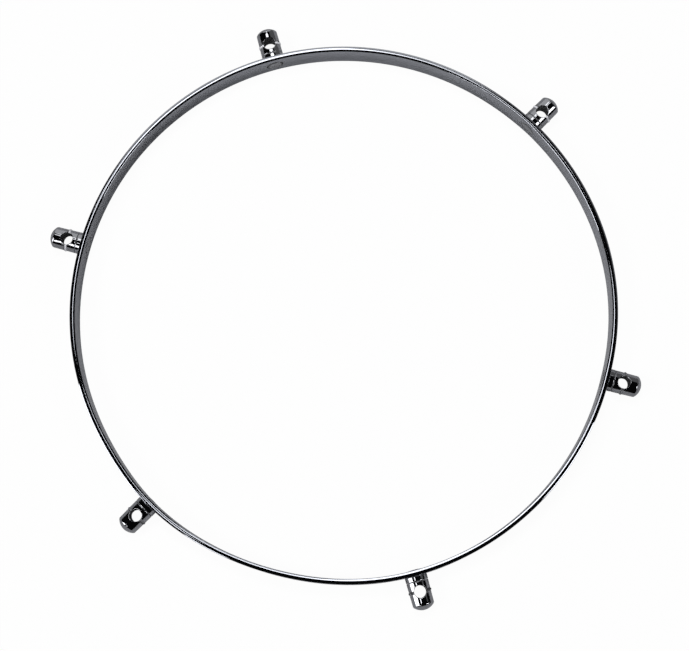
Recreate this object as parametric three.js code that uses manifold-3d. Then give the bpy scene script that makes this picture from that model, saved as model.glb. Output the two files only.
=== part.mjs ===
// Counter hoop for a 12 inch drum. A flat steel bar is rolled edge-up into a ring, and six
// barrel lugs stand out from it. Each lug is drilled from top to bottom for a tension rod. It
// sits on a collar, and its spigot goes through collar and band and is peened over inside.
// Millimetres, +Z up, origin at the centre of the lower edge.

import * as THREE from "three";
import { mergeVertices } from "three/addons/utils/BufferGeometryUtils.js";
import Module from "manifold-3d";

const wasm = await Module();
wasm.setup();

// Band: a bar on edge, its top corners rounder than its lower ones
const bandOuterRadius = 158;
const bandThickness = 3.2;
const bandHeight = 18;
const topCornerRadius = 1.3;
const lowerCornerRadius = 0.7;

// Lugs: lengths run outwards from the band's outer wall. The taper is what a barrel's diameter
// loses from its collar to its shoulder.
const lugCount = 6;
const lugLength = 19.5;
const lugBaseDiameter = 12.7;
const lugTaper = 0.4;
const crownRise = 2.8;
const partingBeadWidth = 1.4;
const partingBeadHeight = 0.4;

// Rod holes: drilled through the lugs, straight down beside the band
const rodHoleDiameter = 7.1;
const rodHoleReach = 9;

// Collars: between band and barrel, coped to the band, their rims just proud of the barrels
const collarThickness = 3.1;
const collarProud = 0.05;

// Spigots, and the low domed heads that they are peened into, let into the inner wall
const spigotDiameter = 5.4;
const headDiameter = 9.6;
const headRise = 0.45;
const headRimProud = 0.1;
const headRecess = 1;

// Gap left between pieces that touch, and the length by which a cut runs past its piece
const seatGap = 0.3;
const cutOverrun = 1;

// Steps round each curve, and the most of the bar's thickness that one corner may take
const bandSteps = 144;
const lugSteps = 36;
const holeSteps = 32;
const topCornerSteps = 3;
const lowerCornerSteps = 2;
const crownSteps = 5;
const headSteps = 3;
const cornerLimitShare = 0.45;

// Places that follow from the sizes, those along a lug counted from the band's outer wall
const bandInnerRadius = bandOuterRadius - bandThickness;
const lugAxisHeight = bandHeight / 2;
const rodHoleRadius = rodHoleDiameter / 2;
const shoulderReach = lugLength - crownRise;
const shoulderRadius = (lugBaseDiameter - lugTaper) / 2;
const collarRadius = lugBaseDiameter / 2 + collarProud;
const barrelStart = collarThickness + seatGap;
const spigotBoreRadius = spigotDiameter / 2 + seatGap;
const recessRadius = headDiameter / 2 + seatGap;
const recessFloor = headRecess - bandThickness;
const headSeat = recessFloor - seatGap;
const headRim = -bandThickness - headRimProud;

const bandChrome = new THREE.MeshStandardMaterial({ color: 0xb9bcc1, roughness: 0.08, metalness: 1 });
const lugChrome = new THREE.MeshStandardMaterial({ color: 0xb4b7bc, roughness: 0.1, metalness: 1 });
const collarChrome = new THREE.MeshStandardMaterial({ color: 0xa9acb2, roughness: 0.12, metalness: 1 });

// Solid from a closed geometry, so that it can be cut
function toSolid(geometry) {
  const bare = geometry.clone();
  bare.deleteAttribute("normal");
  bare.deleteAttribute("uv");
  const welded = mergeVertices(bare);
  const corners = welded.index.array;
  const triVerts = [];
  for (let i = 0; i < corners.length; i += 3) {
    const [a, b, c] = corners.subarray(i, i + 3);
    // the triangles that a lathe leaves on its axis have no width
    if (a !== b && b !== c && c !== a) triVerts.push(a, b, c);
  }
  return new wasm.Manifold(new wasm.Mesh({
    numProp: 3,
    vertProperties: new Float32Array(welded.attributes.position.array),
    triVerts: new Uint32Array(triVerts),
  }));
}

// Geometry from a solid that has been cut
function toGeometry(solid) {
  const { numProp, vertProperties, triVerts } = solid.getMesh();
  const geometry = new THREE.BufferGeometry();
  geometry.setAttribute("position", new THREE.BufferAttribute(vertProperties, numProp));
  geometry.setIndex(new THREE.BufferAttribute(triVerts, 1));
  geometry.computeVertexNormals();
  return geometry;
}

// Outline turned about the vertical axis, its points given as radius and height
function turnedUpright(outline, steps) {
  return new THREE.LatheGeometry(outline, steps).rotateX(Math.PI / 2);
}

// Outline turned about the X axis, its points given as radius and distance along X
function turnedAlongX(outline, steps) {
  return new THREE.LatheGeometry(outline, steps).rotateZ(-Math.PI / 2);
}

// Quarter of a circle, as points from the start angle on, anticlockwise
function quarterArc(centreX, centreY, radius, startAngle, steps) {
  const curve = new THREE.EllipseCurve(
    centreX, centreY, radius, radius, startAngle, startAngle + Math.PI / 2,
  );
  return curve.getPoints(steps);
}

// Points of a shallow dome, from its rim to its top on the axis. A negative rise points back.
function domePoints(rimRadius, rise, rimPlace, steps) {
  const height = Math.abs(rise);
  const sphereRadius = (rimRadius ** 2 + height ** 2) / (2 * height);
  const rimAngle = Math.asin(rimRadius / sphereRadius);
  const points = [];
  for (let i = 0; i <= steps; i += 1) {
    const angle = rimAngle * (1 - i / steps);
    const rimToPoint = sphereRadius * Math.cos(angle) - (sphereRadius - height);
    points.push(new THREE.Vector2(
      sphereRadius * Math.sin(angle),
      rimPlace + Math.sign(rise) * rimToPoint,
    ));
  }
  return points;
}

// Cylinder along X on the lug axis of the +X side, between two distances from the outer wall
function cylinderAlongLug(radius, start, end) {
  return new THREE.CylinderGeometry(radius, radius, end - start, holeSteps)
    .rotateZ(-Math.PI / 2)
    .translate(bandOuterRadius + (start + end) / 2, 0, lugAxisHeight);
}

// Rolled bar with its four rounded corners, bored for the spigots and recessed for their heads
function bandGeometry() {
  const cornerLimit = bandThickness * cornerLimitShare;
  const top = Math.min(topCornerRadius, cornerLimit);
  const low = Math.min(lowerCornerRadius, cornerLimit);
  const outline = [
    ...quarterArc(bandOuterRadius - low, low, low, -Math.PI / 2, lowerCornerSteps),
    ...quarterArc(bandOuterRadius - top, bandHeight - top, top, 0, topCornerSteps),
    ...quarterArc(bandInnerRadius + top, bandHeight - top, top, Math.PI / 2, topCornerSteps),
    ...quarterArc(bandInnerRadius + low, low, low, Math.PI, lowerCornerSteps),
  ];
  outline.push(outline[0].clone());
  let band = toSolid(turnedUpright(outline, bandSteps));

  const innerEnd = -bandThickness - cutOverrun;
  const bore = cylinderAlongLug(spigotBoreRadius, innerEnd, cutOverrun);
  const recess = cylinderAlongLug(recessRadius, innerEnd, recessFloor);
  for (let i = 0; i < lugCount; i += 1) {
    band = band
      .subtract(toSolid(bore.clone().rotateZ(lugAngle(i))))
      .subtract(toSolid(recess.clone().rotateZ(lugAngle(i))));
  }
  return toGeometry(band);
}

// Radius of a barrel at a distance from the band's wall, with its slight taper
function barrelRadiusAt(reach) {
  const share = (reach - barrelStart) / (shoulderReach - barrelStart);
  return THREE.MathUtils.lerp(lugBaseDiameter / 2, shoulderRadius, share);
}

// Lug on the +X side, turned in one piece and cross-drilled: peened head, spigot, and a barrel
// that is beaded at its parting line and domed at its end
function lugGeometry() {
  const beadStart = rodHoleReach - partingBeadWidth / 2;
  const beadEnd = rodHoleReach + partingBeadWidth / 2;
  const crestStart = rodHoleReach - partingBeadWidth / 4;
  const crestEnd = rodHoleReach + partingBeadWidth / 4;
  const outline = [
    ...domePoints(headDiameter / 2, -headRise, headRim, headSteps).reverse(),
    new THREE.Vector2(headDiameter / 2, headSeat),
    new THREE.Vector2(spigotDiameter / 2, headSeat),
    new THREE.Vector2(spigotDiameter / 2, barrelStart),
    new THREE.Vector2(barrelRadiusAt(barrelStart), barrelStart),
    new THREE.Vector2(barrelRadiusAt(beadStart), beadStart),
    new THREE.Vector2(barrelRadiusAt(crestStart) + partingBeadHeight, crestStart),
    new THREE.Vector2(barrelRadiusAt(crestEnd) + partingBeadHeight, crestEnd),
    new THREE.Vector2(barrelRadiusAt(beadEnd), beadEnd),
    ...domePoints(shoulderRadius, crownRise, shoulderReach, crownSteps),
  ];
  const turned = turnedAlongX(outline, lugSteps).translate(bandOuterRadius, 0, lugAxisHeight);
  const drillLength = 2 * lugBaseDiameter;
  const rodHole = new THREE.CylinderGeometry(rodHoleRadius, rodHoleRadius, drillLength, holeSteps)
    .rotateX(Math.PI / 2)
    .translate(bandOuterRadius + rodHoleReach, 0, lugAxisHeight);
  return toGeometry(toSolid(turned).subtract(toSolid(rodHole)));
}

// Collar on the +X side, its inner end cut to the curve of the band
function collarGeometry() {
  const innerEnd = -cutOverrun;
  const outline = [
    new THREE.Vector2(spigotBoreRadius, innerEnd),
    new THREE.Vector2(collarRadius, innerEnd),
    new THREE.Vector2(collarRadius, collarThickness),
    new THREE.Vector2(spigotBoreRadius, collarThickness),
    new THREE.Vector2(spigotBoreRadius, innerEnd),
  ];
  const ring = turnedAlongX(outline, lugSteps).translate(bandOuterRadius, 0, lugAxisHeight);
  const copeRadius = bandOuterRadius + seatGap;
  const cope = new THREE.CylinderGeometry(copeRadius, copeRadius, 4 * collarRadius, bandSteps)
    .rotateX(Math.PI / 2)
    .translate(0, 0, lugAxisHeight);
  return toGeometry(toSolid(ring).subtract(toSolid(cope)));
}

// Turn of one lug about the hoop's axis
function lugAngle(index) {
  return index * 2 * Math.PI / lugCount;
}

function namedMesh(name, geometry, material) {
  const mesh = new THREE.Mesh(geometry, material);
  mesh.name = name;
  return mesh;
}

const hoop = new THREE.Group();
hoop.add(namedMesh("hoop_band", bandGeometry(), bandChrome));

const lug = lugGeometry();
const collar = collarGeometry();
for (let i = 0; i < lugCount; i += 1) {
  const station = new THREE.Group();
  station.rotation.z = lugAngle(i);
  station.add(namedMesh(`lug_${i + 1}`, lug, lugChrome));
  station.add(namedMesh(`lug_collar_${i + 1}`, collar, collarChrome));
  hoop.add(station);
}

export default hoop;
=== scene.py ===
"""Looks of a chromed drum hoop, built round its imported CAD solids.

The band, the six barrel lugs and the six collars are new smooth pieces in place of the faceted
solids. Lengths are in metres. Each lug has its own plain frame: reach outwards from the band's
outer wall, side across, and height above the lug's axis.
"""

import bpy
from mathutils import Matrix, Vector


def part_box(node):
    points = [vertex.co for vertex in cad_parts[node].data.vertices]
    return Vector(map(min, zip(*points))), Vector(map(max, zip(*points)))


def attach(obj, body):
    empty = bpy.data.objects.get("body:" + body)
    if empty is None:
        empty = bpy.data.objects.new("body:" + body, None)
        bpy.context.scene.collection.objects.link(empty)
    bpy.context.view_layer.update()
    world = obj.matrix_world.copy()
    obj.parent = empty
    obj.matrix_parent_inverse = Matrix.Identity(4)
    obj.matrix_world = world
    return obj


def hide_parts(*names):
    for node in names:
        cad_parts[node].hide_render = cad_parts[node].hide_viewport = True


bl_info = {
    "name": "Drum Hoop",
    "version": (1, 0, 0),
    "blender": (4, 5, 0),
    "location": "View3D > Sidebar > Drum Hoop",
    "description": "Builds a chromed flat-bar drum hoop with barrel lugs, and a studio for it",
    "category": "Add Mesh",
}

import math

import bpy
import numpy as np
from bpy.props import FloatProperty, FloatVectorProperty, IntProperty, PointerProperty
from bpy.types import Operator, Panel, PropertyGroup
from mathutils import Matrix, Vector

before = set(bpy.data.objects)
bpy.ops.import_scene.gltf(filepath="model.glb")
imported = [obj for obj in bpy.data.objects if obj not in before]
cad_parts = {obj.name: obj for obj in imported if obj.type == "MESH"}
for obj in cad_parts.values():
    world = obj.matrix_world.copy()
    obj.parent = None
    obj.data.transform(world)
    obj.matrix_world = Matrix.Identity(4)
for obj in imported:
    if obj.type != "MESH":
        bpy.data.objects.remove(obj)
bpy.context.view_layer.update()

BODY = "root"
MM = 0.001

# Two lengths that are closer than this count as equal
TINY = 1e-9

# The CAD band's own sizes, to a hundredth of a millimetre
band_low, band_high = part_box("hoop_band")
BAND_RADIUS = round(band_high.y, 5)
BAND_HEIGHT = round(band_high.z - band_low.z, 5)


def length(name, description, default):
    """A length that a user can change."""
    return FloatProperty(name=name, description=description, default=default, unit="LENGTH",
                         precision=5)


def share(name, description, default):
    """A share between none and all."""
    return FloatProperty(name=name, description=description, default=default, min=0, max=1,
                         subtype="FACTOR")


def colour(name, description, default):
    """A colour that a user can change."""
    return FloatVectorProperty(name=name, description=description, default=default, size=3,
                               min=0, max=1, subtype="COLOR")


def power(name, description, default):
    """The strength of a light, as the brightness of its face."""
    return FloatProperty(name=name, description=description, default=default, min=0)


# Sizes and colours

class BandSizes(PropertyGroup):
    """The rolled bar."""

    radius: length("Outer radius", "From the hoop's axis to the outer wall", BAND_RADIUS)
    height: length("Height", "Height of the bar on its edge", BAND_HEIGHT)
    thickness: length("Thickness", "Thickness of the bar", 3.2 * MM)
    crown: length("Crown", "Radius of the top's low dome across the bar", 3.6 * MM)
    top_corner: length("Top corner", "Radius of the two upper corners", 0.45 * MM)
    low_corner: length("Lower corner", "Radius of the two lower corners", 0.7 * MM)
    bore_radius: length("Bore radius", "Radius of the bore for a lug's spigot", 2.85 * MM)
    recess_radius: length("Recess radius", "Radius of the recess for a peened head", 4.95 * MM)
    recess_depth: length("Recess depth", "Depth of that recess", 0.6 * MM)
    recess_edge: length("Recess edge", "Rounding of the recess's rim", 0.12 * MM)
    spring: share("Spring", "How much of the hand-rolled bar's waviness is shown", 1.0)


class LugSizes(PropertyGroup):
    """The barrel lugs, their spigots and peened heads."""

    count: IntProperty(name="Count", description="Number of lugs", default=6, min=1)
    length: length("Length", "How far a lug stands out from the band's outer wall", 19.5 * MM)
    base_radius: length("Base radius", "Radius of the barrel at its collar", 6.35 * MM)
    tip_radius: length("Tip radius", "Radius of the barrel at its shoulder", 6.15 * MM)
    crown_rise: length("Crown rise", "Height of the domed outer end", 2.8 * MM)
    shoulder: length("Shoulder", "Rounding between barrel and dome", 0.7 * MM)
    bead_width: length("Bead width", "Width of the raised ring round the barrel", 1.9 * MM)
    bead_height: length("Bead height", "Height of that ring", 0.45 * MM)
    hole_radius: length("Hole radius", "Radius of the rod hole", 3.55 * MM)
    hole_reach: length("Hole reach", "From the band's outer wall to the middle of the rod hole",
                       9 * MM)
    hole_edge: length("Hole edge", "Rounding of the rod hole's rims", 0.4 * MM)
    edge: length("Edge", "Rounding of the barrel's inner end", 0.35 * MM)
    spigot_radius: length("Spigot radius", "Radius of the spigot through the band", 2.7 * MM)
    head_radius: length("Head radius", "Radius of the peened head inside the hoop", 4.8 * MM)
    head_rise: length("Head rise", "Height of the head's dome", 0.4 * MM)
    head_edge: length("Head edge", "Rounding of the head's rim", 0.3 * MM)
    head_proud: length("Head proud", "How far the head's rim stands out from the inner wall",
                       0.1 * MM)


class CollarSizes(PropertyGroup):
    """The collars between band and barrels."""

    radius: length("Radius", "Radius of a collar", 6.4 * MM)
    thickness: length("Thickness", "From the band's outer wall to the collar's flat face",
                      3.1 * MM)
    bore_radius: length("Bore radius", "Radius of the bore for the spigot", 2.85 * MM)
    edge: length("Edge", "Rounding of the collar's rim", 0.5 * MM)
    seam: length("Seam", "Gap between a collar's flat face and its barrel", 0.08 * MM)


class Finishes(PropertyGroup):
    """The chrome plate, clean and worn."""

    band: colour("Band", "Colour of the plate on the band", (0.495, 0.513, 0.562))
    lug: colour("Lug", "Colour of the plate on the lugs", (0.485, 0.493, 0.520))
    collar: colour("Collar", "Colour of the plate on the collars", (0.47, 0.478, 0.50))
    gloss_loss: share("Roughness", "Roughness of clean plate", 0.018)
    haze: share("Haze", "Roughness that handling has added in places", 0.05)
    # wear also scales the painted shade at the inner wall's foot and on the beads
    wear: share("Wear", "Strength of scratches, pits and grime", 1.0)


class StageLook(PropertyGroup):
    """The floor and the lights."""

    floor: colour("Floor", "Colour of the floor", (0.03, 0.03, 0.03))
    glow: power("Glow", "Light that the floor gives from within, as a light table does", 0.964)
    grey_floor: colour("Grey floor", "Colour of the floor that the chrome mirrors",
                       (0.34, 0.34, 0.348))
    sky: power("Sky", "Brightness of the dark room", 0.003)
    lift: power("Lift", "Strength of the lamps that only matt surfaces see", 1.0)


# Surfaces

def eased(share_done):
    """Smooth step: three times the square less twice the cube, held between none and all."""
    held = np.clip(share_done, 0, 1)
    return held * held * (3 - 2 * held)


def both_sides(places):
    """A list of distances, and the same on the other side of zero."""
    places = np.asarray(places, float)
    return np.concatenate([-places[::-1], [0.0], places])


def between(start, end, step):
    """Even places strictly between two others, about a step apart."""
    count = max(int(round((end - start) / step)), 1)
    return np.linspace(start, end, count + 1)[1:-1]


def arc(centre_x, centre_y, radius, start, end, steps):
    """Points of a circle from a start angle to an end angle."""
    angle = np.linspace(start, end, steps + 1)
    return np.stack([centre_x + radius * np.cos(angle), centre_y + radius * np.sin(angle)], 1)


def run(start, end, steps):
    """Points on a straight line, its first point left out."""
    part = np.linspace(0, 1, steps + 1)[1:, None]
    return np.asarray(start) * (1 - part) + np.asarray(end) * part


def ring_from_square(across, along, round_to, square_from):
    """Bends a square grid so that its square rings become circles near the middle.

    The ring of a point is the larger of its two distances. Inside round_to the point lies on
    the circle of that radius, in its own direction. From there to square_from the bend eases
    away. Gives the ring, the direction's two shares, and how much of the bend applies.
    """
    ring = np.maximum(np.abs(across), np.abs(along))
    far = np.hypot(across, along)
    far = np.where(far > 0, far, 1)
    bend = 1 - eased((ring - round_to) / (square_from - round_to))
    return ring, across / far, along / far, bend


def grid_corners(rows, columns, loop_rows, loop_columns):
    """Rows and columns of the four corners of every cell of a grid, which may close on itself."""
    row, column = np.meshgrid(np.arange(rows if loop_rows else rows - 1),
                              np.arange(columns if loop_columns else columns - 1), indexing="ij")
    row, column = row.ravel(), column.ravel()
    return (np.stack([row, row, row + 1, row + 1], 1),
            np.stack([column, column + 1, column + 1, column], 1))


def block_edge(rows, columns):
    """Grid places once round the edge of a block, from its first and last row and column."""
    top, bottom = rows
    left, right = columns
    row = [np.full(right - left, top), np.arange(top, bottom), np.full(right - left, bottom),
           np.arange(bottom, top, -1)]
    column = [np.arange(left, right), np.full(bottom - top, right), np.arange(right, left, -1),
              np.full(bottom - top, left)]
    return np.concatenate(row), np.concatenate(column)


def tube_between(points, first_ring, last_ring, levels, rim_step):
    """Straight lines from each point of one ring to its partner on another, as a tube.

    The levels are shares of the way between the rings. Gives the points between them, which
    follow the given points, the tube's cells, and the UV places of their corners.
    """
    levels = np.asarray(levels)[:, None, None]
    middle = points[first_ring] * (1 - levels) + points[last_ring] * levels
    numbers = len(points) + np.arange(middle.size // 3).reshape(len(levels), -1)
    lines = np.concatenate([first_ring[None], numbers, last_ring[None]])
    row, column = grid_corners(len(lines), lines.shape[1], False, True)
    span = np.linalg.norm(points[first_ring[0]] - points[last_ring[0]])
    depth = np.concatenate([[0], levels.ravel(), [1]]) * span
    uv = np.stack([column * rim_step, depth[row]], 2)
    return middle.reshape(-1, 3), lines[row, column % lines.shape[1]], uv


def piece_from(name, points, faces, uv, grime_and_shade, painted_sheen=None):
    """A mesh piece with smooth faces that point outwards, its UV map and its attributes of grime
    with painted shade and of painted sheen.

    Where faces point inwards, the sum over them all of one corner dotted with the cross product
    of the next two is below zero, and then every face is turned round.
    """
    corners = np.array([face[:3] for face in faces])
    first, second, third = (points[corners[:, k]] for k in range(3))
    if np.einsum("ij,ij->", first, np.cross(second, third)) < 0:
        faces = [face[::-1] for face in faces]
        uv = [places[::-1] for places in uv]
    mesh = bpy.data.meshes.new(name)
    mesh.from_pydata(points.tolist(), [], faces)
    mesh.polygons.foreach_set("use_smooth", np.ones(len(faces), bool))
    layer = mesh.uv_layers.new(name="plate")
    layer.data.foreach_set("uv", np.concatenate([np.ravel(places) for places in uv]))
    if painted_sheen is None:
        painted_sheen = np.zeros(len(points))
    for kind, amount in (("grime_and_shade", grime_and_shade), ("painted_sheen", painted_sheen)):
        attribute = mesh.attributes.new(kind, "FLOAT", "POINT")
        attribute.data.foreach_set("value", amount.astype(np.float32))
    mesh.update()
    piece = bpy.data.objects.new(name, mesh)
    bpy.context.scene.collection.objects.link(piece)
    return piece


# Band

# The wave in each bay between two lugs: the place of its top, as a share of the bay, and how far
# that stands out, in mm
BAY_WAVES = ((0.2, -0.3), (0.5, 0.0), (0.75, -0.6), (0.47, -1.25), (0.5, 0.0), (0.35, 0.75))

# Steps round the bar's lower corners, upper corners and crown, and across its foot
LOW_CORNER_STEPS = 6
TOP_CORNER_STEPS = 8
CROWN_STEPS = 14
FOOT_STEPS = 3

# Grid lines of both walls: how far over the lower corner, and how far under the upper one
OVER_LOW_CORNER = (0.05 * MM, 0.6 * MM)
UNDER_TOP_CORNER = 0.05 * MM

# Grid steps round a lug's axis, and along the band between two lugs
WINDOW_STEP = 0.9 * MM
BAND_STEP = 2.6 * MM

# Grid lines round a lug's axis: just outside the bore, over the recess's rim, given in roundings
# of that rim, and beyond the recess, in mm
BORE_LIP = 0.1 * MM
OVER_RECESS_RIM = (-1.3, -1, -0.5, 0, 0.5, 1, 1.3)
BEYOND_RECESS = (5.6, 6.2, 7.0)

# How far past the recess's rim the grid stays bent into circles, in roundings of that rim
RECESS_ROUND_TO = 1.5

# Places of the rings in a bore, as shares of the way from wall to wall
BORE_LEVELS = (0.25, 0.5, 0.75)

# How far grime spreads from a recess's rim inside and from a lug's foot outside, and the
# strength of the painted shade at the foot of the inner wall
RECESS_SPREAD = 0.7 * MM
LUG_FOOT_SPREAD = 0.8 * MM
WALL_FOOT_PAINTED_SHADE = 0.25


def spring_of(angle, amount):
    """How far the hand-rolled bar leaves the true circle.

    In each bay it is a squared sine that is zero at both lugs, its top moved to the given place
    by a power of the share of the bay.
    """
    bay = np.mod(angle, 2 * math.pi) / (2 * math.pi) * len(BAY_WAVES)
    number = np.minimum(bay.astype(int), len(BAY_WAVES) - 1)
    place, height = np.array(BAY_WAVES)[number].T
    bent = (bay - number) ** (math.log(0.5) / np.log(place))
    return height * MM * amount * np.sin(math.pi * bent) ** 2


def top_corner_height(size):
    """Height of the upper corners' middles.

    A corner touches the crown from inside, so its middle lies the difference of both radii from
    the crown's own middle, and its own radius from the wall.
    """
    aside = size.thickness / 2 - size.top_corner
    return size.height - size.crown + math.sqrt((size.crown - size.top_corner) ** 2 - aside ** 2)


def band_profile(size, wall_heights):
    """The bar's rounded outline, from the outer wall's foot up, over and down the inner wall.

    Each point is a radius and a height. Both walls have points at the given heights.
    """
    outer, inner = size.radius, size.radius - size.thickness
    low, top, height = size.low_corner, size.top_corner, size.height
    middle = (outer + inner) / 2
    corner = top_corner_height(size)
    lean = math.asin((size.thickness / 2 - top) / (size.crown - top))
    up, level = math.pi / 2, math.pi
    wall = np.ones(len(wall_heights))
    return np.concatenate([
        arc(outer - low, low, low, -up, 0, LOW_CORNER_STEPS),
        np.stack([wall * outer, wall_heights], 1),
        arc(outer - top, corner, top, 0, up - lean, TOP_CORNER_STEPS),
        arc(middle, height - size.crown, size.crown, up - lean, up + lean, CROWN_STEPS)[1:-1],
        arc(inner + top, corner, top, up + lean, level, TOP_CORNER_STEPS),
        np.stack([wall * inner, wall_heights[::-1]], 1),
        arc(inner + low, low, low, level, level + up, LOW_CORNER_STEPS),
        run((inner + low, 0), (outer - low, 0), FOOT_STEPS)[:-1],
    ])


def band_marks(size):
    """Distances from a lug's axis at which the band's grid has lines: bore, recess and beyond."""
    rim, edge = size.recess_radius, size.recess_edge
    bore = size.bore_radius
    round_rim = rim + edge * np.array(OVER_RECESS_RIM)
    return np.concatenate([between(0, bore, WINDOW_STEP), [bore, bore + BORE_LIP],
                           between(bore, round_rim[0], WINDOW_STEP), round_rim,
                           np.array(BEYOND_RECESS) * MM])


def band_piece(size, lugs):
    """The bar's outline carried round the hoop's axis, and bored at every lug.

    Round each lug's axis the grid of both walls is bent into circles. The inner wall is sunk
    inside the recess's rim, which falls away by an eased step. The cells inside the bore are
    left out, and a tube joins the two walls. Grime falls off by a power of e on both sides of
    each recess's rim and of each lug's foot. A painted shade grows with the square of the way
    down the inner wall.
    """
    inner = size.radius - size.thickness
    axis_height = size.height / 2
    marks = band_marks(size)
    window = marks[-1]
    offsets = both_sides(marks)
    heights = np.concatenate([size.low_corner + np.array(OVER_LOW_CORNER),
                              axis_height + offsets,
                              [top_corner_height(size) - UNDER_TOP_CORNER]])
    profile = band_profile(size, heights)
    rows = len(profile)

    bay = 2 * math.pi / lugs.count
    turns = np.concatenate([offsets, between(window, bay * inner - window, BAND_STEP)]) / inner
    columns = len(turns) * lugs.count
    station = np.repeat(np.arange(lugs.count) * bay, len(turns))
    angle = np.tile(turns, lugs.count) + station
    beside = np.tile(np.arange(len(turns)) < len(offsets), lugs.count)

    radius = np.repeat(profile[:, :1], columns, 1)
    height = np.repeat(profile[:, 1:], columns, 1)
    inner_half = radius < size.radius - size.thickness / 2
    on_wall = (np.abs(radius - inner) < TINY) | (np.abs(radius - size.radius) < TINY)
    near = on_wall & beside[None] & (np.abs(height - axis_height) <= window + TINY)
    across = np.where(near, ((angle - station) * inner)[None], 0)
    along = np.where(near, height - axis_height, 0)
    rim, edge = size.recess_radius, size.recess_edge
    ring, cos, sin, bend = ring_from_square(across, along, rim + RECESS_ROUND_TO * edge, window)
    turn = station[None] + bend * np.arcsin(ring * cos / radius) + (1 - bend) * across / inner
    turn = np.where(near, turn, angle[None])
    height = np.where(near, axis_height + bend * ring * sin + (1 - bend) * along, height)
    sunk = size.recess_depth * eased((rim + edge - ring) / (2 * edge))
    radius = radius + np.where(near & inner_half, sunk, 0)

    to_axis = np.hypot((turn - station[None]) * size.radius, height - axis_height)
    joint = np.where(inner_half, rim, lugs.base_radius)
    spread = np.where(inner_half, RECESS_SPREAD, LUG_FOOT_SPREAD)
    grime_and_shade = np.where(on_wall, np.exp(-np.abs(to_axis - joint) / spread), 0)
    # painted shade: the inner wall gets darker towards its foot, with the square of the way down
    foot = WALL_FOOT_PAINTED_SHADE * np.clip(1 - height / size.height, 0, 1) ** 2
    grime_and_shade = np.maximum(grime_and_shade, np.where(inner_half, foot, 0)).ravel()

    radius = radius + spring_of(angle, size.spring)[None]
    points = np.stack([radius * np.cos(turn), radius * np.sin(turn), height], 2).reshape(-1, 3)
    row, column = grid_corners(rows, columns, True, True)
    cells = (row % rows) * columns + column % columns
    steps = np.hypot(*np.diff(np.concatenate([profile, profile[:1]]), axis=0).T)
    girth = np.concatenate([[0], np.cumsum(steps)])
    around = np.concatenate([angle, [angle[0] + 2 * math.pi]]) * size.radius
    uv = np.stack([around[column], girth[row]], 2)
    bored = ((ring <= size.bore_radius + TINY) & near).ravel()[cells].all(1)
    faces, places = [cells[~bored]], [uv[~bored]]

    block = [int(np.argmin(np.abs(offsets - side * size.bore_radius))) for side in (-1, 1)]
    along_ring, across_ring = block_edge(block, block)
    # rows of the lowest window line: counted from the outline's start up the outer wall, and
    # from its end back across the foot and up the inner wall
    outer_first = LOW_CORNER_STEPS + 1 + len(OVER_LOW_CORNER)
    inner_last = rows - FOOT_STEPS - outer_first
    rim_step = 2 * math.pi * size.bore_radius / len(along_ring)
    for k in range(lugs.count):
        place = across_ring + k * len(turns)
        outside = (outer_first + along_ring) * columns + place
        inside = (inner_last - along_ring) * columns + place
        middle, tube, tube_uv = tube_between(points, outside, inside, BORE_LEVELS, rim_step)
        points = np.concatenate([points, middle])
        faces.append(tube)
        places.append(tube_uv)
    grime_and_shade = np.concatenate([grime_and_shade, np.ones(len(points) - len(grime_and_shade))])
    return piece_from("rolled_band", points, np.concatenate(faces).tolist(),
                      list(np.concatenate(places)), grime_and_shade)


# Lugs and collars

# Steps along a lug's outline: the dome of its head, its rounded edges, its shoulder and the dome
# of its tip
HEAD_STEPS = 14
EDGE_STEPS = 5
SHOULDER_STEPS = 7
TIP_STEPS = 22

# Share of the shoulder's rounding that its curve takes up before it joins the dome
SHOULDER_SHARE = 0.8

# Grid lines round a rod hole: steps up the side of the bead, steps along and across the rest of
# the hole, lines over the hole's rim, given in roundings of it, and lines beyond it, in mm
BEAD_STEPS = 7
ALONG_STEP = 0.42 * MM
ACROSS_STEP = 0.45 * MM
OVER_HOLE_RIM = (0, 0.08, 0.25, 0.5, 0.75, 1, 1.2)
BEYOND_HOLE = (4.2, 4.6, 5.1)

# How far past the hole's rim the grid stays bent into circles, in roundings of that rim
HOLE_ROUND_TO = 1.4

# Grid steps on a barrel's flanks, between its two rod hole windows
FLANK_STEP = 0.7 * MM

# Places of the rings in a rod hole, as shares of the way from top to bottom
HOLE_LEVELS = (0.02, 0.08, 0.2, 0.35, 0.5, 0.65, 0.8, 0.92, 0.98)

# Gap between a peened head and the floor of its recess
HEAD_GAP = 0.02 * MM

# The peening hammer's mark: how far it pushes a head's rim in, and how far the two lobes of that
# mark are turned from one lug to the next
HAMMERED = 0.13 * MM
LOBE_TURN = 1.7

# Grime on the wall of a rod hole, which the plate hardly reaches
BARE_BORE = 3.0

# Painted shade on the bead, and how full it is across the bead
BEAD_PAINTED_SHADE = 1.8
BEAD_FULLNESS = 1.4

# How strong the painted pale sheen on the inner flank of each lug's bead is, and where that
# flank ends and how wide its end fades, in half widths of the bead
BEAD_PAINTED_SHEEN = (1.0, 1.0, 0.9, 0.15, 0.0, 0.0)
FLANK_END = -0.05
FLANK_FADE = 0.3

# Grime round each lug's peened head
HEAD_GRIME = (2.2, 2.2, 2.4, 1.0, 1.0, 3.0)

# How far grime spreads from a seam, and from a peened head's rim
SEAM_SPREAD = 0.1 * MM
HEAD_SPREAD = 0.7 * MM

# Steps round a collar, and the hair's gap between it and the band
COLLAR_STEPS = 96
COPE_GAP = 0.01 * MM


def at_station(points, number, count, band):
    """Moves points of reach, side and height from a lug's own frame to its place on the hoop."""
    angle = (number - 1) * 2 * math.pi / count
    out = band.radius + points[:, 0]
    side = points[:, 1]
    return np.stack([out * math.cos(angle) - side * math.sin(angle),
                     out * math.sin(angle) + side * math.cos(angle),
                     points[:, 2] + band.height / 2], 1)


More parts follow.
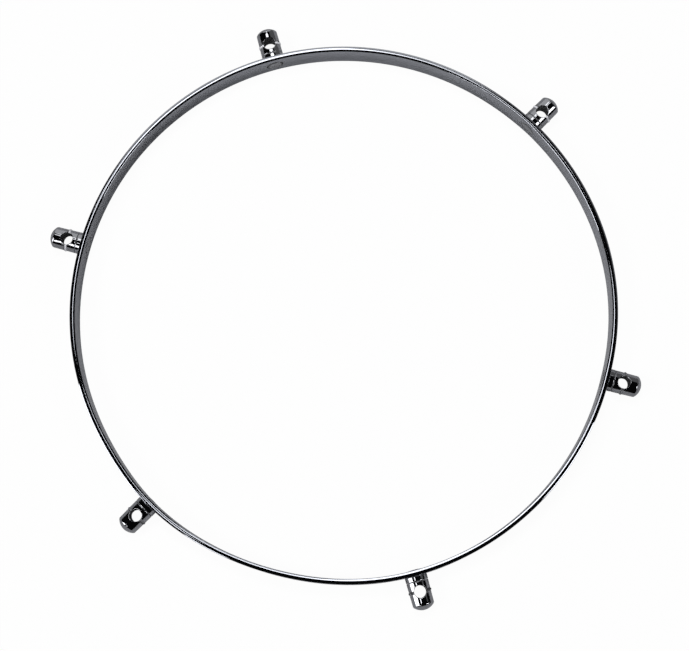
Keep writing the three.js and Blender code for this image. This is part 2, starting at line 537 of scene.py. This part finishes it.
def barrel_radius(reach, size, start):
    """Radius along the barrel: a straight taper, with the bead's cosine hump on it."""
    shoulder = size.length - size.crown_rise
    part = (reach - start) / (shoulder - start)
    plain = size.base_radius + (size.tip_radius - size.base_radius) * part
    from_bead = np.clip(np.abs(reach - size.hole_reach) / (size.bead_width / 2), 0, 1)
    return plain + size.bead_height * (0.5 + 0.5 * np.cos(math.pi * from_bead))


def dome_arc(rim_radius, rise, steps):
    """Points of a spherical cap from its rim to just short of its top: radius and height.

    The sphere's radius is the sum of the squares of rim radius and rise over twice the rise.
    """
    sphere = (rim_radius ** 2 + rise ** 2) / (2 * rise)
    angle = math.asin(rim_radius / sphere) * (1 - np.arange(steps) / steps)
    return np.stack([sphere * np.sin(angle), sphere * np.cos(angle) - (sphere - rise)], 1)


def softened(before, corner, after, reach, steps):
    """Rounds a corner with a quadratic curve that starts and ends at a distance from it."""
    before, corner, after = (np.asarray(p, float) for p in (before, corner, after))
    start = corner + (before - corner) / np.linalg.norm(before - corner) * reach
    end = corner + (after - corner) / np.linalg.norm(after - corner) * reach
    part = np.linspace(0, 1, steps + 1)[:, None]
    return (1 - part) ** 2 * start + 2 * part * (1 - part) * corner + part ** 2 * end


def hole_marks(size):
    """Distances from the rod hole's middle at which the barrel's grid has lines.

    Both directions share the lines over the hole's rim and beyond, which become circles. Along
    the barrel they stand closer in the middle, on the bead.
    """
    rim = size.hole_radius
    edge = rim + size.hole_edge * np.array(OVER_HOLE_RIM)
    beyond = np.array(BEYOND_HOLE) * MM
    bead = size.bead_width / 2 * np.linspace(0, 1, BEAD_STEPS + 1)[1:]
    along = np.concatenate([bead, between(bead[-1], rim, ALONG_STEP), edge, beyond])
    across = np.concatenate([between(0, rim, ACROSS_STEP), edge, beyond])
    return both_sides(along), both_sides(across)


def lug_profile(size, band, start, barrel_reach):
    """A lug's outline from its peened head to its domed tip, as reach and radius.

    The outline's poles are left out. Gives the outline, and the number of its first row that has
    a place in barrel_reach.
    """
    wall = -band.thickness
    rim = wall - size.head_proud
    seat = wall + band.recess_depth - HEAD_GAP
    head = dome_arc(size.head_radius, size.head_rise, HEAD_STEPS)[::-1]
    head = np.stack([rim - head[:, 1], head[:, 0]], 1)
    # the rounded rim takes the place of the dome's last two points
    head_edge = softened(head[-3], (rim, size.head_radius), (seat, size.head_radius),
                         size.head_edge, EDGE_STEPS)
    base = (start, size.base_radius)
    base_edge = softened((start, 0), base, (size.length, size.base_radius), size.edge, EDGE_STEPS)
    shoulder = size.length - size.crown_rise
    crown = dome_arc(size.tip_radius, size.crown_rise, TIP_STEPS)
    crown = np.stack([shoulder + crown[:, 1], crown[:, 0]], 1)
    from_corner = np.hypot(crown[:, 0] - shoulder, crown[:, 1] - size.tip_radius)
    crown = crown[from_corner > size.shoulder]
    turn = softened((start, size.tip_radius), (shoulder, size.tip_radius), crown[0],
                    size.shoulder * SHOULDER_SHARE, SHOULDER_STEPS)
    before = np.concatenate([
        head[:-2],
        head_edge,
        run(head_edge[-1], (seat, size.head_radius), steps=2),
        run((seat, size.head_radius), (seat, size.spigot_radius), steps=3),
        run((seat, size.spigot_radius), (start, size.spigot_radius), steps=6),
        run((start, size.spigot_radius), base_edge[0], steps=4)[:-1],
        base_edge,
    ])
    to_shoulder = run((barrel_reach[-1], 0), (turn[0][0], 0), steps=4)[:-1, 0]
    barrel = np.concatenate([barrel_reach, to_shoulder])
    barrel = np.stack([barrel, barrel_radius(barrel, size, start)], 1)
    return np.concatenate([before, barrel, turn, crown]), len(before)


def lug_piece(number, size, band, collar):
    """A lug's outline carried round its axis, with the rod hole drilled through.

    Round the hole's two ends the grid is bent into circles as seen from above. A point at ring
    distance d and direction a lies at reach d cos a and side d sin a, so its turn about the axis
    is the arcsine of side over radius. Over the rim's rounding it drops by a quarter circle. The
    cells inside the rim are left out, and a tube of straight lines joins the two rims. The
    hammer pushes the head's rim in by a sine of two lobes, which grows with the fourth power of
    the radius.

    Grime falls off by a power of e on both sides of the seam and of the head's rim. On the bead
    a painted shade is full less a fourth power of the place across, and the bead's inner flank
    has a painted pale sheen in its place, as strong as that lug's share of painted sheen.
    """
    start = collar.thickness + collar.seam
    along_marks, across_marks = hole_marks(size)
    window = along_marks[-1]
    outline, first_row = lug_profile(size, band, start, size.hole_reach + along_marks)
    grid_radius = size.base_radius
    flank = between(window / grid_radius, math.pi - window / grid_radius, FLANK_STEP / grid_radius)
    half_turn = np.concatenate([across_marks / grid_radius, flank])
    turns = np.concatenate([half_turn, math.pi + half_turn])
    rows, columns = len(outline), len(turns)
    reach = np.repeat(outline[:, :1], columns, 1)
    radius = np.repeat(outline[:, 1:], columns, 1)
    turn = np.repeat(turns[None], rows, 0)
    on_barrel = np.zeros((rows, 1), bool)
    on_barrel[first_row:first_row + len(along_marks)] = True

    drop = np.zeros((rows, columns))
    from_hole = np.full((rows, columns), np.inf)
    for middle, side in ((0.0, 1), (math.pi, -1)):
        offset = (turn - middle) * grid_radius
        near = on_barrel & (np.abs(offset) <= window + TINY)
        along = np.where(near, reach - size.hole_reach, 0)
        across = np.where(near, offset, 0)
        round_to = size.hole_radius + HOLE_ROUND_TO * size.hole_edge
        ring, cos, sin, bend = ring_from_square(along, across, round_to, window)
        new_reach = size.hole_reach + bend * ring * cos + (1 - bend) * along
        new_radius = barrel_radius(new_reach, size, start)
        seen = np.arcsin(np.clip(ring * sin / new_radius, -1, 1))
        into_edge = np.clip(1 - (ring - size.hole_radius) / size.hole_edge, 0, 1)
        reach = np.where(near, new_reach, reach)
        radius = np.where(near, new_radius, radius)
        turn = np.where(near, middle + bend * seen + (1 - bend) * across / grid_radius, turn)
        drop = np.where(near, side * size.hole_edge * (1 - np.sqrt(1 - into_edge ** 2)), drop)
        from_hole = np.where(near, ring, from_hole)

    lobes = 0.5 + 0.5 * np.sin(2 * turn + LOBE_TURN * number)
    hammered = HAMMERED * lobes * (radius / size.head_radius) ** 4
    reach = reach + np.where(reach < band.recess_depth / 2 - band.thickness, hammered, 0)
    points = np.stack([reach, radius * np.sin(turn), radius * np.cos(turn) - drop], 2)
    points = points.reshape(-1, 3)
    row, column = grid_corners(rows, columns, False, True)
    cells = row * columns + column % columns
    girth = np.concatenate([[0], np.cumsum(np.hypot(*np.diff(outline, axis=0).T))])
    around = np.concatenate([turns, [turns[0] + 2 * math.pi]]) * grid_radius
    uv = np.stack([around[column], girth[row]], 2)
    drilled = (from_hole.ravel()[cells] <= size.hole_radius + TINY).all(1)
    cells, uv = cells[~drilled], uv[~drilled]

    block = [[int(np.argmin(np.abs(marks - side * size.hole_radius))) for side in (-1, 1)]
             for marks in (along_marks, across_marks)]
    along_ring, across_ring = block_edge(*block)
    upper = (first_row + along_ring) * columns + across_ring
    # the lower window's columns run the other way across
    across_low = len(half_turn) + len(across_marks) - 1 - across_ring
    lower = (first_row + along_ring) * columns + across_low
    rim_step = 2 * math.pi * size.hole_radius / len(upper)
    wall, tube, tube_uv = tube_between(points, upper, lower, HOLE_LEVELS, rim_step)
    points = np.concatenate([points, wall])

    poles = len(points) + np.array([0, 1])
    points = np.concatenate([points, [[-band.thickness - size.head_proud - size.head_rise, 0, 0],
                                      [size.length, 0, 0]]])
    ring_here = np.arange(columns)
    ring_next = np.roll(ring_here, -1)
    last = (rows - 1) * columns
    head_fan = np.stack([np.full(columns, poles[0]), ring_next, ring_here], 1)
    tip_fan = np.stack([np.full(columns, poles[1]), last + ring_here, last + ring_next], 1)
    head_uv = [[(here, 0), (after, girth[1]), (here, girth[1])]
               for here, after in zip(around[:-1], around[1:])]
    tip_uv = [[(here, girth[-1] + girth[1]), (here, girth[-1]), (after, girth[-1])]
              for here, after in zip(around[:-1], around[1:])]
    faces = np.concatenate([cells, tube]).tolist() + head_fan.tolist() + tip_fan.tolist()
    places = list(np.concatenate([uv, tube_uv])) + head_uv + tip_uv

    off_axis = np.hypot(points[:, 1], points[:, 2])
    grime_and_shade = np.exp(-np.abs(points[:, 0] - start) / SEAM_SPREAD)
    head_rim = np.exp(-np.abs(off_axis - size.head_radius) / HEAD_SPREAD) * (points[:, 0] < 0)
    head_rim = head_rim * HEAD_GRIME[(number - 1) % len(HEAD_GRIME)]
    grime_and_shade = np.maximum(grime_and_shade, head_rim)
    over_bead = (points[:, 0] - size.hole_reach) / (size.bead_width / 2)
    on_bead = np.clip(BEAD_FULLNESS * (1 - over_bead ** 4), 0, 1)
    on_bead[rows * columns:] = 0
    outer_flank = eased((over_bead - FLANK_END) / FLANK_FADE)
    # painted sheen on the inner flank of this lug's bead, and painted shade on the rest of the
    # bead
    pale = BEAD_PAINTED_SHEEN[(number - 1) % len(BEAD_PAINTED_SHEEN)]
    painted_sheen = on_bead * pale * (1 - outer_flank)
    grime_and_shade = np.maximum(grime_and_shade, BEAD_PAINTED_SHADE * on_bead * (1 - pale * (1 - outer_flank)))
    grime_and_shade[rows * columns:poles[0]] = BARE_BORE
    return piece_from(f"barrel_lug_{number}", at_station(points, number, size.count, band), faces,
                      places, grime_and_shade, painted_sheen)


def collar_piece(number, size, band, lugs):
    """A collar's closed outline carried round the lug's axis, its inner end coped to the band.

    Each point of the outline is a share of the way from band to flat face, and a radius. The
    band's wall lies back from its foremost line by R less the root of R squared less side squared.
    """
    front = softened((0, size.radius), (size.thickness, size.radius), (size.thickness, 0),
                     size.edge, EDGE_STEPS)
    front[:, 0] /= size.thickness
    outline = np.concatenate([
        run((0, size.radius), front[0], steps=5)[:-1],
        front,
        run(front[-1], (1, size.bore_radius), steps=4),
        run((1, size.bore_radius), (0, size.bore_radius), steps=3),
        run((0, size.bore_radius), (0, size.radius), steps=4),
    ])
    turns = np.linspace(0, 2 * math.pi, COLLAR_STEPS + 1)[:-1]
    rows, columns = len(outline), len(turns)
    side = outline[:, 1:] * np.sin(turns)[None]
    up = outline[:, 1:] * np.cos(turns)[None]
    wall = np.sqrt(band.radius ** 2 - side ** 2) - band.radius + COPE_GAP
    reach = wall + outline[:, :1] * (size.thickness - wall)
    points = np.stack([reach, side, up], 2).reshape(-1, 3)
    row, column = grid_corners(rows, columns, True, True)
    cells = (row % rows) * columns + column % columns
    steps = np.diff(np.concatenate([outline, outline[:1]]) * (size.thickness, 1), axis=0)
    girth = np.concatenate([[0], np.cumsum(np.hypot(*steps.T))])
    around = np.concatenate([turns, [2 * math.pi]]) * size.radius
    uv = np.stack([around[column], girth[row]], 2)
    ends = np.minimum(np.abs(points[:, 0] - wall.ravel()), np.abs(points[:, 0] - size.thickness))
    return piece_from(f"coped_collar_{number}", at_station(points, number, lugs.count, band),
                      cells.tolist(), list(uv), np.exp(-ends / SEAM_SPREAD))


# Materials

# Brightness of hazed plate and of grime with painted shade, as shares of clean plate, and the
# colour of the painted sheen
HAZED = 0.9
GRIMY_AND_SHADED = 0.09
PAINTED_SHEEN_WHITE = (0.95, 0.95, 1.0, 1.0)

# Shares of the two patterns that break up the grime, and of a pit that grime fills
BROKEN_SHARE = 0.5
PATCHY_SHARE = 0.7
PIT_SHARE = 0.6

# Roughness that polishing lines, grime with painted shade and the painted sheen add, and the
# share of the metal's mirror that grime with painted shade and the painted sheen take away
LINES_ROUGHNESS = 0.015
GRIME_AND_SHADE_ROUGHNESS = 0.4
PAINTED_SHEEN_ROUGHNESS = 0.35
GRIME_AND_SHADE_COVER = 0.95
PAINTED_SHEEN_COVER = 0.92

# Specular level of grime, painted shade and the painted sheen
GRIME_SPECULAR = 0.15

# The fine relief: its unit in metres, the height of polishing lines and the depth of pits in
# that unit, and how strongly it shows
RELIEF_UNIT = 0.000004
LINES_HEIGHT = 0.1
PITS_DEPTH = 2.0
RELIEF_STRENGTH = 0.3

# A Mix node's own numbers for its factor, its two colours and its result
MIX_FACTOR, MIX_FIRST, MIX_SECOND, MIX_RESULT = 0, 6, 7, 2

# Brightness of the floor in its darker patches, as a share of the rest
FLOOR_MOTTLE = 0.97


class Value:
    """A socket that Python's arithmetic works on. Each operation adds its Math node."""

    def __init__(self, finish, socket):
        self.finish = finish
        self.socket = socket

    def maths(self, operation, first, second):
        """A Math node on two operands, each a value or a number."""
        node = self.finish.node("Math", {"operation": operation}, {0: first, 1: second})
        return self.finish.value(node, "Value")

    def __add__(self, other):
        return self.maths("ADD", self, other)

    def __mul__(self, other):
        return self.maths("MULTIPLY", self, other)

    def __sub__(self, other):
        return self.maths("SUBTRACT", self, other)

    def __rsub__(self, other):
        return self.maths("SUBTRACT", other, self)

    __radd__ = __add__
    __rmul__ = __mul__

    def at_most(self, other):
        """The lesser of the two."""
        return self.maths("MINIMUM", self, other)

    def between(self, low, high):
        """Nothing at low, all at high, and eased in the middle."""
        node = self.finish.node("MapRange", {"interpolation_type": "SMOOTHSTEP"},
                                Value=self, From_Min=low, From_Max=high)
        return self.finish.value(node, "Result")


class Finish:
    """A material's node tree, with one method that adds any node."""

    def __init__(self, name):
        self.material = bpy.data.materials.new(name)
        self.material.use_nodes = True
        self.tree = self.material.node_tree
        self.tree.nodes.clear()

    def node(self, kind, settings=None, numbered=None, **named):
        """Adds a node: its settings first, then the values or links of its sockets.

        Sockets are named, or numbered where several share a name.
        """
        node = self.tree.nodes.new("ShaderNode" + kind)
        for setting, value in (settings or {}).items():
            setattr(node, setting, value)
        sockets = {name.replace("_", " "): value for name, value in named.items()}
        for place, value in {**sockets, **(numbered or {})}.items():
            if isinstance(value, Value):
                self.tree.links.new(value.socket, node.inputs[place])
            else:
                node.inputs[place].default_value = value
        return node

    def value(self, node, output):
        """One output of a node as a value."""
        return Value(self, node.outputs[output])

    def blend(self, part, first, second):
        """A colour between two others, each a colour or a value."""
        mix = self.node("Mix", {"data_type": "RGBA"},
                        {MIX_FACTOR: part, MIX_FIRST: first, MIX_SECOND: second})
        return self.value(mix, MIX_RESULT)

    def done(self, shader):
        """Joins the shader to the material's output."""
        self.node("OutputMaterial", Surface=self.value(shader, "BSDF"))
        return self.material


def chrome(name, plate, finishes):
    """Bright plate: a faint haze in soft patches, fine polishing lines along the piece, a few
    pits, matt dark grime in the seams, painted shade at the foot of the inner wall and on some
    beads, and a painted pale sheen on the inner flank of some beads.

    The UV map runs round the piece and over its outline, in metres. Two attributes of the piece
    say where grime with painted shade and the painted sheen lie, and both are broken up into
    patches here.
    """
    finish = Finish(name)
    place = finish.value(finish.node("TexCoord"), "Object")
    surface = finish.value(finish.node("UVMap", {"uv_map": "plate"}), "UV")
    # grime with painted shade, and the painted sheen, as the piece's attributes give them
    seam = finish.value(finish.node("Attribute", {"attribute_name": "grime_and_shade"}), "Fac")
    crest = finish.value(finish.node("Attribute", {"attribute_name": "painted_sheen"}), "Fac")

    patches = finish.value(finish.node("TexNoise", Vector=place, Scale=45.0, Detail=3.0), "Fac")
    smudge = finish.value(finish.node("TexNoise", Vector=place, Scale=190.0, Detail=5.0,
                                      Roughness=0.6), "Fac")
    haze = patches.between(0.45, 0.72) * smudge.between(0.35, 0.75)
    stretched = finish.node("Mapping", Vector=surface, Scale=(60.0, 5200.0, 1.0))
    lines = finish.value(finish.node("TexNoise", {"noise_dimensions": "2D"},
                                     Vector=finish.value(stretched, "Vector"), Scale=1.0,
                                     Detail=4.0), "Fac")
    cells = finish.node("TexVoronoi", Vector=place, Scale=520.0)
    pit = 1 - finish.value(cells, "Distance").between(0.06, 0.16)
    pitted = finish.value(finish.node("TexNoise", Vector=place, Scale=95.0, Detail=2.0), "Fac")
    pits = pit * pitted.between(0.6, 0.7)
    broken = finish.value(finish.node("TexNoise", Vector=place, Scale=900.0, Detail=4.0), "Fac")
    patchy = finish.value(finish.node("TexNoise", Vector=place, Scale=210.0, Detail=1.0), "Fac")
    broken_up = (broken.between(0.3, 0.62) * BROKEN_SHARE
                 + patchy.between(0.38, 0.62) * PATCHY_SHARE)
    # grime in seams and pits, with painted shade at the inner wall's foot and on the beads
    dirt_and_shade = (seam * broken_up + pits * PIT_SHARE).at_most(1.0) * finishes.wear
    # painted sheen: a pale colour on some beads' inner flanks that stands in for a highlight
    painted_sheen = crest * patchy.between(0.2, 0.5)

    bright = (*plate, 1.0)
    hazed = tuple(HAZED * c for c in plate) + (1.0,)
    grime_and_shade_tone = tuple(GRIMY_AND_SHADED * c for c in plate) + (1.0,)
    tint = finish.blend(dirt_and_shade, finish.blend(haze, bright, hazed), grime_and_shade_tone)
    tint = finish.blend(painted_sheen, tint, PAINTED_SHEEN_WHITE)
    metallic = (1 - painted_sheen * PAINTED_SHEEN_COVER) * (1 - dirt_and_shade * GRIME_AND_SHADE_COVER)
    roughness = (finishes.gloss_loss + haze * finishes.haze + lines * LINES_ROUGHNESS
                 + dirt_and_shade * GRIME_AND_SHADE_ROUGHNESS + painted_sheen * PAINTED_SHEEN_ROUGHNESS)
    bump = finish.node("Bump", Height=lines * LINES_HEIGHT - pits * PITS_DEPTH,
                       Strength=RELIEF_STRENGTH * finishes.wear, Distance=RELIEF_UNIT)
    shader = finish.node("BsdfPrincipled", Base_Color=tint, Metallic=metallic,
                         Roughness=roughness, Normal=finish.value(bump, "Normal"),
                         Specular_IOR_Level=GRIME_SPECULAR)
    return finish.done(shader)


def floor_finish(name, tint, glow):
    """A plain matt floor, a hair darker in wide soft patches, with an even glow of its own."""
    finish = Finish(name)
    place = finish.value(finish.node("TexCoord"), "Object")
    patches = finish.value(finish.node("TexNoise", Vector=place, Scale=1.5, Detail=2.0), "Fac")
    darker = tuple(FLOOR_MOTTLE * c for c in tint) + (1.0,)
    shader = finish.node("BsdfPrincipled", Base_Color=finish.blend(patches, (*tint, 1.0), darker),
                         Roughness=1.0, Specular_IOR_Level=0.0,
                         Emission_Color=(1, 1, 1, 1), Emission_Strength=glow)
    return finish.done(shader)


def dress(piece, material, nodes):
    """Gives a piece its material and its body, and puts it in place of its CAD node."""
    piece.data.materials.append(material)
    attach(piece, BODY)
    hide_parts(nodes)


# Studio

# The photograph's camera: its place from the middle of the hoop's upper rim, in metres, and its
# tilt about X and Y in degrees, both in the photograph's own turn of the hoop
CAMERA_PLACE = (0.01551, -0.16939, 0.93641)
CAMERA_TILT = (-9.659, -0.880)
PHOTO_TURN = 45.159
CAMERA_LENS = 86.2
SENSOR = 36.0

# Half the floor's width, its gap under the hoop, and the lights' distance from the hoop's middle
FLOOR_HALF = 6.0
FLOOR_GAP = 0.0005
LIGHT_DISTANCE = 2.2

# Tint of the dark room: a touch of blue
SKY_TINT = (1, 1, 1.08)

# Softboxes that only the chrome mirrors: name, direction in degrees in the photograph's turn,
# angle from overhead, width and height in metres, and brightness
SOFTBOXES = (
    ("key", 104, 17, 0.45, 0.50, 3.0),
    ("key_strip", 105, 24, 1.20, 0.15, 2.4),
    ("back_high", 100, 33, 0.42, 0.40, 2.4),
    ("back_card", 100, 64, 2.40, 2.30, 0.57),
    ("right_strip", 336, 54, 0.60, 0.92, 4.0),
    ("left_box", 200, 68, 0.98, 1.66, 4.0),
    ("left_low", 234, 52, 0.33, 0.60, 4.0),
    ("left_spot", 208, 19, 0.25, 0.24, 3.2),
    ("right_card", 41, 66, 2.25, 2.10, 0.12),
)

# Lamps that only matt surfaces see, in the same terms
FLOOR_LAMPS = (
    ("lift_back", 104, 17, 0.45, 0.50, 31.0),
    ("lift_right", 336, 54, 0.60, 0.92, 8.1),
    ("lift_left", 195, 36, 0.60, 0.60, 17.0),
)


def add_floor(name, height, material):
    """A square of floor."""
    mesh = bpy.data.meshes.new(name)
    half = FLOOR_HALF
    corners = [(-half, -half, height), (half, -half, height), (half, half, height),
               (-half, half, height)]
    mesh.from_pydata(corners, [], [(0, 1, 2, 3)])
    mesh.materials.append(material)
    floor = bpy.data.objects.new(name, mesh)
    bpy.context.scene.collection.objects.link(floor)
    return floor


def add_camera(band):
    """The photograph's camera: turned back by the photograph's turn of the hoop, then tilted."""
    camera = bpy.data.cameras.new("photo_camera")
    camera.sensor_width = SENSOR
    camera.lens = CAMERA_LENS
    camera.clip_start = 0.01
    camera.clip_end = 50
    seat = bpy.data.objects.new("photo_camera", camera)
    bpy.context.scene.collection.objects.link(seat)
    tilt_x, tilt_y = (math.radians(angle) for angle in CAMERA_TILT)
    look = Matrix.Rotation(tilt_x, 3, "X") @ Matrix.Rotation(tilt_y, 3, "Y")
    back = Matrix.Rotation(-math.radians(PHOTO_TURN), 3, "Z")
    place = back @ Vector(CAMERA_PLACE) + Vector((0, 0, band.height))
    seat.matrix_world = Matrix.Translation(place) @ (back @ look.transposed()).to_4x4()
    bpy.context.scene.camera = seat


def add_light(name, direction, from_overhead, width, height, brightness):
    """A rectangular light that looks at the hoop's middle and that the camera doesn't see.

    Its power is its face's brightness times pi times its area.
    """
    turn = math.radians(direction - PHOTO_TURN)
    lean = math.radians(from_overhead)
    place = Vector((math.sin(lean) * math.cos(turn), math.sin(lean) * math.sin(turn),
                    math.cos(lean)))
    light = bpy.data.lights.new(name, "AREA")
    light.shape = "RECTANGLE"
    light.size = width
    light.size_y = height
    light.energy = brightness * math.pi * width * height
    box = bpy.data.objects.new(name, light)
    box.location = place * LIGHT_DISTANCE
    box.rotation_euler = (-place).to_track_quat("-Z", "Y").to_euler()
    box.visible_camera = False
    bpy.context.scene.collection.objects.link(box)
    return box


# Operators

class HOOP_OT_band(Operator):
    """Builds the rolled band with its rounded edges, bores and recesses"""
    bl_idname = "drum_hoop.band"
    bl_label = "Rolled band"

    def execute(self, context):
        scene = context.scene
        finishes = scene.hoop_finishes
        piece = band_piece(scene.hoop_band, scene.hoop_lugs)
        dress(piece, chrome("band_chrome", finishes.band, finishes), "hoop_band")
        return {"FINISHED"}


class HOOP_OT_lugs(Operator):
    """Builds the barrel lugs with their rod holes, spigots and peened heads"""
    bl_idname = "drum_hoop.lugs"
    bl_label = "Barrel lugs"

    def execute(self, context):
        scene = context.scene
        material = chrome("lug_chrome", scene.hoop_finishes.lug, scene.hoop_finishes)
        for number in range(1, scene.hoop_lugs.count + 1):
            piece = lug_piece(number, scene.hoop_lugs, scene.hoop_band, scene.hoop_collars)
            dress(piece, material, f"lug_{number}")
        return {"FINISHED"}


class HOOP_OT_collars(Operator):
    """Builds the collars between the band and the barrels"""
    bl_idname = "drum_hoop.collars"
    bl_label = "Coped collars"

    def execute(self, context):
        scene = context.scene
        material = chrome("collar_chrome", scene.hoop_finishes.collar, scene.hoop_finishes)
        for number in range(1, scene.hoop_lugs.count + 1):
            piece = collar_piece(number, scene.hoop_collars, scene.hoop_band, scene.hoop_lugs)
            dress(piece, material, f"lug_collar_{number}")
        return {"FINISHED"}


class HOOP_OT_stage(Operator):
    """Builds the pale floor, the grey floor that the chrome mirrors, the lights and the camera"""
    bl_idname = "drum_hoop.stage"
    bl_label = "Floor, lights and camera"

    def execute(self, context):
        scene = context.scene
        stage = scene.hoop_stage
        # the chrome mirrors a grey floor, and everything else sees the pale one under it
        pale = floor_finish("pale_floor", stage.floor, stage.glow)
        floor = add_floor("floor", -FLOOR_GAP, pale)
        floor.visible_glossy = False
        grey = floor_finish("grey_floor", stage.grey_floor, glow=0.0)
        mirrored = add_floor("mirrored_floor", -FLOOR_GAP / 2, grey)
        mirrored.visible_camera = False
        mirrored.visible_diffuse = False
        mirrored.visible_shadow = False
        scene.view_settings.view_transform = "Standard"

        world = bpy.data.worlds.new("dark_room")
        world.use_nodes = True
        background = world.node_tree.nodes["Background"]
        background.inputs["Color"].default_value = (*(stage.sky * part for part in SKY_TINT), 1)
        scene.world = world
        for softbox in SOFTBOXES:
            add_light(*softbox).visible_diffuse = False
        for name, direction, lean, width, height, brightness in FLOOR_LAMPS:
            lamp = add_light(name, direction, lean, width, height, brightness * stage.lift)
            lamp.visible_glossy = False
        add_camera(scene.hoop_band)
        return {"FINISHED"}


class HOOP_PT_panel(Panel):
    """Lists the steps that build the hoop and its studio"""
    bl_idname = "HOOP_PT_panel"
    bl_label = "Drum Hoop"
    bl_space_type = "VIEW_3D"
    bl_region_type = "UI"
    bl_category = "Drum Hoop"

    def draw(self, context):
        for step in STEPS:
            self.layout.operator(step.bl_idname)


STEPS = (HOOP_OT_band, HOOP_OT_lugs, HOOP_OT_collars, HOOP_OT_stage)
GROUPS = {
    "hoop_band": BandSizes,
    "hoop_lugs": LugSizes,
    "hoop_collars": CollarSizes,
    "hoop_finishes": Finishes,
    "hoop_stage": StageLook,
}


def register():
    """Registers the settings, the steps and the panel."""
    for name, group in GROUPS.items():
        bpy.utils.register_class(group)
        setattr(bpy.types.Scene, name, PointerProperty(type=group))
    for cls in (*STEPS, HOOP_PT_panel):
        bpy.utils.register_class(cls)


def unregister():
    """Takes back what register added."""
    for cls in (HOOP_PT_panel, *reversed(STEPS)):
        bpy.utils.unregister_class(cls)
    for name, group in reversed(GROUPS.items()):
        delattr(bpy.types.Scene, name)
        bpy.utils.unregister_class(group)


def main():
    """Builds every piece and the stage."""
    register()
    bpy.ops.drum_hoop.band()
    bpy.ops.drum_hoop.lugs()
    bpy.ops.drum_hoop.collars()
    bpy.ops.drum_hoop.stage()


if __name__ == "__main__":
    main()
